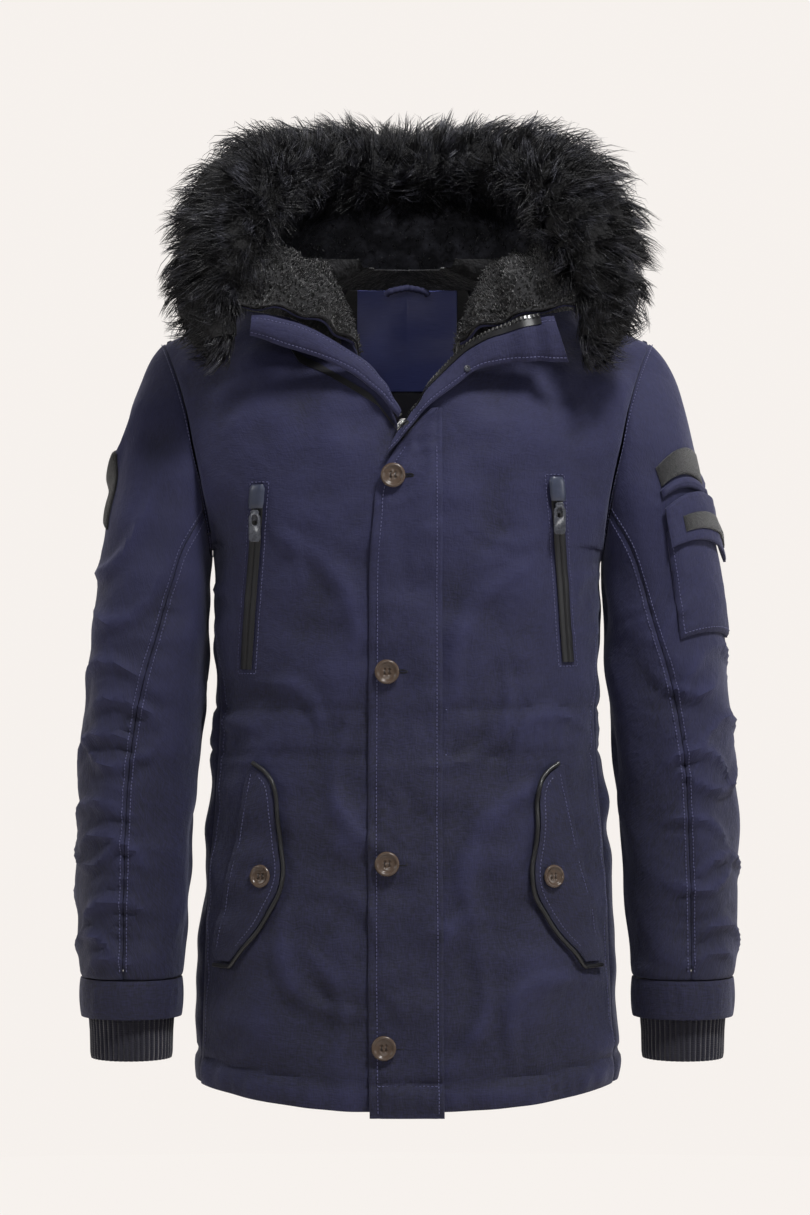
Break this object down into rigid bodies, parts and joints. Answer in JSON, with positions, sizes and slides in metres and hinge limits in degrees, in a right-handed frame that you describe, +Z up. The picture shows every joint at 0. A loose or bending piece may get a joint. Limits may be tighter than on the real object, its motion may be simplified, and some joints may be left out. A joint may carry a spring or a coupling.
{
  "type": "fur trimmed parka",
  "caption": "Hooded thigh-length parka with a fur trimmed hood, storm flap with buttons, slanted chest zips and flapped hand pockets.",
  "frame": {"origin": "middle of the neck opening, level with the back neck seam, where the coat rests on the wearer's shoulders", "axes": "+X towards the wearer's left, +Y towards the wearer's back, so the front faces -Y, +Z up"},
  "size_m": [0.63, 0.3722, 0.9585],
  "materials": {
    "shell_cloth": "tightly woven navy cotton canvas with a fine slub, matte",
    "rib_knit": "dark navy 1x1 rib knit, matte",
    "satin": "navy satin, soft sheen",
    "lining_cloth": "dark grey taffeta, slightly glossy",
    "side_cloth": "black knitted facing, matte",
    "long_fur": "long black fake fur with silvery highlights",
    "plush": "short black plush pile",
    "zip_tape": "black coated zip tape, satin",
    "hook_loop": "black loop tape, matte",
    "leather": "black leather piping, smooth",
    "steel": "bright nickel plated zip metal",
    "dark_metal": "black enamelled zip metal, glossy",
    "rubber": "blue-grey moulded rubber, satin",
    "horn": "mottled brown horn, polished"
  },
  "bodies": {
    "coat": {"back": "shell_cloth", "back_neck_facing": "satin", "chest_garage_left": "rubber", "chest_garage_right": "rubber", "chest_slider_left": "dark_metal", "chest_slider_right": "dark_metal", "chest_zip_tape_left": "zip_tape", "chest_zip_tape_right": "zip_tape", "collar_wing_left": "shell_cloth", "collar_wing_right": "shell_cloth", "cuff_band_left": "shell_cloth", "cuff_band_right": "shell_cloth", "facing_side_left": "side_cloth", "facing_side_right": "side_cloth", "flap_button_left": "horn", "flap_button_right": "horn", "front_button_1": "horn", "front_button_2": "horn", "front_button_3": "horn", "front_button_4": "horn", "front_left": "shell_cloth", "front_right": "shell_cloth", "fur_trim": "long_fur", "hanger_loop": "shell_cloth", "hood_back": "shell_cloth", "hood_left": "shell_cloth", "hood_lining_back": "plush", "hood_lining_left": "plush", "hood_lining_right": "plush", "hood_right": "shell_cloth", "lining_back": "lining_cloth", "main_slider": "steel", "placket": "shell_cloth", "pocket_flap_left": "shell_cloth", "pocket_flap_right": "shell_cloth", "pocket_piping_left": "leather", "pocket_piping_right": "leather", "rib_cuff_left": "rib_knit", "rib_cuff_right": "rib_knit", "sleeve_flap_left": "shell_cloth", "sleeve_flap_patch_left": "hook_loop", "sleeve_patch_left": "hook_loop", "sleeve_patch_right": "hook_loop", "sleeve_pocket_left": "shell_cloth", "sleeve_under_left": "shell_cloth", "sleeve_under_right": "shell_cloth", "sleeve_upper_left": "shell_cloth", "sleeve_upper_right": "shell_cloth", "sleeve_welt_left": "shell_cloth", "zip_tape_left": "zip_tape", "zip_tape_right": "zip_tape"},
    "chest_pull_right": {"chest_pull_right": "dark_metal"},
    "chest_pull_left": {"chest_pull_left": "dark_metal"},
    "main_pull": {"main_pull": "steel"}
  },
  "joints": [
    {"name": "chest_pull_right_hinge", "type": "hinge", "parent": "coat", "child": "chest_pull_right", "pos_m": [-0.14222, -0.11611, -0.2329], "axis": [-1, 0, 0], "range_deg": [0, 130]},
    {"name": "chest_pull_left_hinge", "type": "hinge", "parent": "coat", "child": "chest_pull_left", "pos_m": [0.14215, -0.11709, -0.22582], "axis": [-1, 0, 0], "range_deg": [0, 130]},
    {"name": "main_pull_hinge", "type": "hinge", "parent": "coat", "child": "main_pull", "pos_m": [-0.0065, -0.13235, -0.14791], "axis": [-1, 0, 0], "range_deg": [0, 20]}
  ]
}
